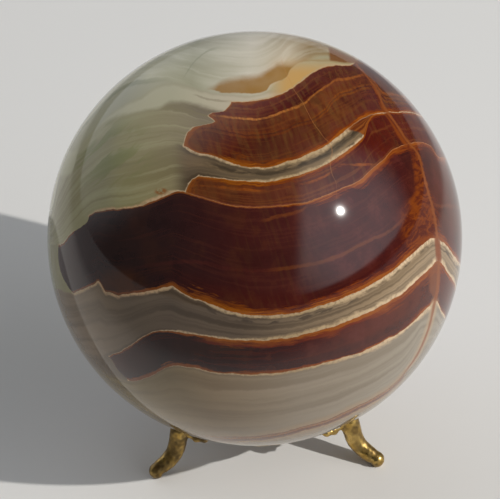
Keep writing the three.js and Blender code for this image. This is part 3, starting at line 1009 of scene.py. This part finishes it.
# %% Onyx: foot vein, crack and small marks
foot_depth = times(minus(up, foot_vein), FACE_SPAN)
FOOT_COLOURS = [(0.0, (138, 122, 100)), (0.24, (158, 128, 94)), (0.31, (100, 42, 6)),
                (0.44, (112, 52, 12)), (0.5, (160, 118, 76)), (0.55, (112, 56, 16)),
                (0.64, (160, 134, 104)), (1.0, (138, 128, 112))]
foot_bar = colour_bar(fade(foot_depth, -3.0, 3.0), FOOT_COLOURS)
foot_mask = times(fade(foot_depth, 2.4, 1.2), by_column(170, 250), by_column(415, 405))
stone_colour = lay(stone_colour, foot_bar, foot_mask, 0.9)

crack_line = drawn_line(up, CRACK, downwards=True)
crack_off = times(calc("ABSOLUTE", minus(across, crack_line)), FACE_SPAN)
crack_length = times(by_row(190, 165, 0.2, 1.0), by_row(54, 62), by_row(205, 195), facing_front)
stone_colour = lay(stone_colour, (176, 118, 62), fade(crack_off, 0.15, 0.03), crack_length, 0.3)
smudge = times(spot(161.5, 191, 1.9, 1.0, 0.6), fade(grain(place, 800.0), 0.42, 0.54))
stone_colour = lay(stone_colour, (146, 86, 30), smudge, 0.85)
chip_across, chip_up = face_place(329, 60)
right_of_chip = fade(across, chip_across - 0.004, chip_across + 0.004)
over_chip = fade(up, chip_up - 0.002, chip_up + 0.003)
stone_colour = lay(stone_colour, (120, 68, 12), right_of_chip, over_chip, fade(inward, -0.09, -0.14), 0.9)
feed(stone_colour, onyx_shader.inputs["Base Color"])
print("onyx: foot vein, crack and marks done")

# %% Onyx: polish
polish = use_group(marks_group, Place=place, Clean=0.06, Smeared=0.085, Size=30.0)
feed(polish["Roughness"], onyx_shader.inputs["Roughness"])
onyx_shader.inputs["IOR"].default_value = 1.52
print("onyx:", len(tree.nodes), "nodes")

# %% [markdown]
# ## The ball
#
# A turned and polished ball is very nearly perfect. It is made from a cube whose faces are cut into a fine
# grid and pushed out to the radius, because that gives even faces all over and no poles.

# %% Build the ball
BALL_CUTS = 47
TURNING_MARK = 0.04 * MM
GRINDING = 0.02 * MM


def polished_ball(name, centre, radius):
    """A ball of even faces, cut from a cube."""
    shape = bmesh.new()
    bmesh.ops.create_cube(shape, size=2.0)
    bmesh.ops.subdivide_edges(shape, edges=shape.edges[:], cuts=BALL_CUTS, use_grid_fill=True)
    for vertex in shape.verts:
        angles = [math.tan(value * math.pi / 4) for value in vertex.co]
        direction = Vector(angles).normalized()
        unevenness = TURNING_MARK * noise.noise(direction * 2.0 + Vector((7, 3, 5)))
        vertex.co = centre + direction * (radius - GRINDING + unevenness)
    mesh = bpy.data.meshes.new(name)
    shape.to_mesh(mesh)
    shape.free()
    mesh.shade_smooth()
    made = bpy.data.objects.new(name, mesh)
    bpy.context.scene.collection.objects.link(made)
    return made


ball = polished_ball("onyx_ball", BALL_CENTRE, BALL_RADIUS)
ball.data.materials.append(onyx)
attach(ball, "sphere")
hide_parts("onyx_sphere")
print("ball:", len(ball.data.polygons), "faces")

# %% [markdown]
# ## Cast brass
#
# The legs and ring are cast in sand and never filed smooth, so they are lumpy all over. The frame's solids
# have the right shape but hard corners. Each is copied, rebuilt as one even skin, relaxed and pushed in
# by up to two tenths of a millimetre of noise. How far it is pushed in is stored on the mesh as `hollow`,
# because the old dark skin of the metal stays in the hollows. The soles stay flat.

# %% Cast skins for ring and legs
LEG_SIDES = ("back", "right", "left")
LARGE_LUMPS, SMALL_LUMPS = 2.2 * MM, 0.9 * MM
SOLE_HEIGHT = 0.35 * MM
RELAX_ROUNDS = 5


def cast_skin(node, name, grid, lump, seed):
    """A cast-looking copy of a frame solid: even skin, soft corners, lumps and a hollow mask."""
    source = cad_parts[node]
    made = bpy.data.objects.new(name, source.data.copy())
    bpy.context.scene.collection.objects.link(made)
    made.data.materials.clear()
    remesh = made.modifiers.new("skin", "REMESH")
    remesh.mode = "VOXEL"
    remesh.voxel_size = grid
    relax = made.modifiers.new("relax", "CORRECTIVE_SMOOTH")
    relax.iterations = RELAX_ROUNDS
    relax.use_only_smooth = True
    bpy.context.view_layer.update()
    mesh = bpy.data.meshes.new_from_object(made.evaluated_get(bpy.context.evaluated_depsgraph_get()))
    made.modifiers.clear()
    made.data = mesh
    carve_lumps(mesh, lump, seed)
    mesh.shade_smooth()
    return made


def carve_lumps(mesh, lump, seed):
    """Pushes the skin in by noise and stores how deep each point lies."""
    shift = Vector((seed, 2 * seed, 3 * seed))
    normals = [vertex.normal.copy() for vertex in mesh.vertices]
    hollow = mesh.attributes.new("hollow", "FLOAT", "POINT")
    for vertex, normal, mark in zip(mesh.vertices, normals, hollow.data):
        large = noise.noise(vertex.co / LARGE_LUMPS + shift)
        small = noise.noise(vertex.co / SMALL_LUMPS + shift)
        mark.value = min(1.0, max(0.0, 0.45 + 0.55 * large + 0.35 * small))
        if vertex.co.z > SOLE_HEIGHT:
            vertex.co -= normal * lump * mark.value
    mesh.update()


ring = cast_skin("support_ring", "cast_ring", 0.35 * MM, 0.12 * MM, 1)
legs = []
for seed, side in enumerate(LEG_SIDES, 2):
    legs.append(cast_skin(f"leg_{side}", f"cast_leg_{side}", 0.25 * MM, 0.22 * MM, seed))
for piece in [ring, *legs]:
    print(piece.name, len(piece.data.polygons), "faces")

# %% [markdown]
# ## The brass finish
#
# Old brass is two things: bright metal where hands rub it, and a dull dark skin where they don't. One group
# works out the skin from the hollows and a coarse noise. Ring and legs use it with their own amounts, and the
# amounts also carry painted shade: the left leg, which stands in the ball's shadow, gets the most dark skin,
# the sunlit right leg the least, and the ring hidden under the ball more than the right leg.

# %% Groups: dark skin and cast grain
skin_group, given, result = new_group(
    "Dark skin",
    [("Place", VECTOR), ("Hollow", FLOAT), ("Amount", FLOAT)],
    [("Skin", FLOAT), ("Colour", COLOUR)],
)
tree = skin_group
patches = grain(given["Place"], 260.0, 4.0, 0.6)
worn = plus(times(given["Hollow"], 0.7), times(patches, 0.6))
skin = fade(plus(worn, given["Amount"]), 0.45, 1.05)
bright = lay((184, 150, 80), (204, 172, 104), fade(grain(given["Place"], 500.0), 0.4, 0.6))
old = lay((92, 72, 36), (124, 100, 54), fade(patches, 0.4, 0.6))
feed(skin, result["Skin"])
feed(lay(bright, old, skin), result["Colour"])

grain_group, given, result = new_group("Cast grain", [("Place", VECTOR)], [("Height", FLOAT)])
tree = grain_group
sand = grain(given["Place"], 1500.0, 3.0, 0.7)
pits = grain(given["Place"], 600.0, 2.0)
feed(plus(times(sand, 0.4), pits), result["Height"])
print("groups:", skin_group.name, "and", grain_group.name)


# %% Brass materials
def brass(name, skin_and_shade, dull):
    """Cast brass with its own amount of dark skin, an amount that also carries painted shade."""
    global tree
    material = bpy.data.materials.new(name)
    material.use_nodes = True
    tree = material.node_tree
    shader = tree.nodes["Principled BSDF"]
    place = tree.nodes.new("ShaderNodeTexCoord").outputs["Object"]
    hollow = tree.nodes.new("ShaderNodeAttribute")
    hollow.attribute_name = "hollow"
    skin = use_group(skin_group, Place=place, Hollow=hollow.outputs["Fac"], Amount=skin_and_shade)
    marks = use_group(marks_group, Place=place, Clean=0.24, Smeared=dull, Size=260.0)
    height = use_group(grain_group, Place=place)["Height"]
    bump = tree.nodes.new("ShaderNodeBump")
    fill(shader, Normal=fill(bump, Strength=0.35, Distance=0.15 * MM, Height=height)["Normal"])
    fill(shader, Base_Color=skin["Colour"], Metallic=fade(skin["Skin"], 0.0, 1.0, 1.0, 0.65))
    fill(shader, Roughness=calc("MULTIPLY_ADD", skin["Skin"], 0.22, marks["Roughness"]))
    return material


ring.data.materials.append(brass("ring_brass", 0.15, 0.5))
# The left leg stands in the ball's shadow, so its larger amount of dark skin is partly painted shade; the
# sunlit right leg gets the least.
for leg, side, skin_and_shade in zip(legs, LEG_SIDES, (0.18, 0.10, 0.25)):
    leg.data.materials.append(brass(f"leg_brass_{side}", skin_and_shade, 0.42))
print("brass on", 1 + len(legs), "pieces")

# %% [markdown]
# ## Fix the pieces to the frame
#
# Each new piece rides on the body that it belongs to, and stands in for its frame solid, which stays out of
# sight but goes on doing the work in the physics model.

# %% Ride, replace and finish
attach(ring, "stand")
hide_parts("support_ring")
for leg, side in zip(legs, LEG_SIDES):
    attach(leg, "stand")
    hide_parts(f"leg_{side}")
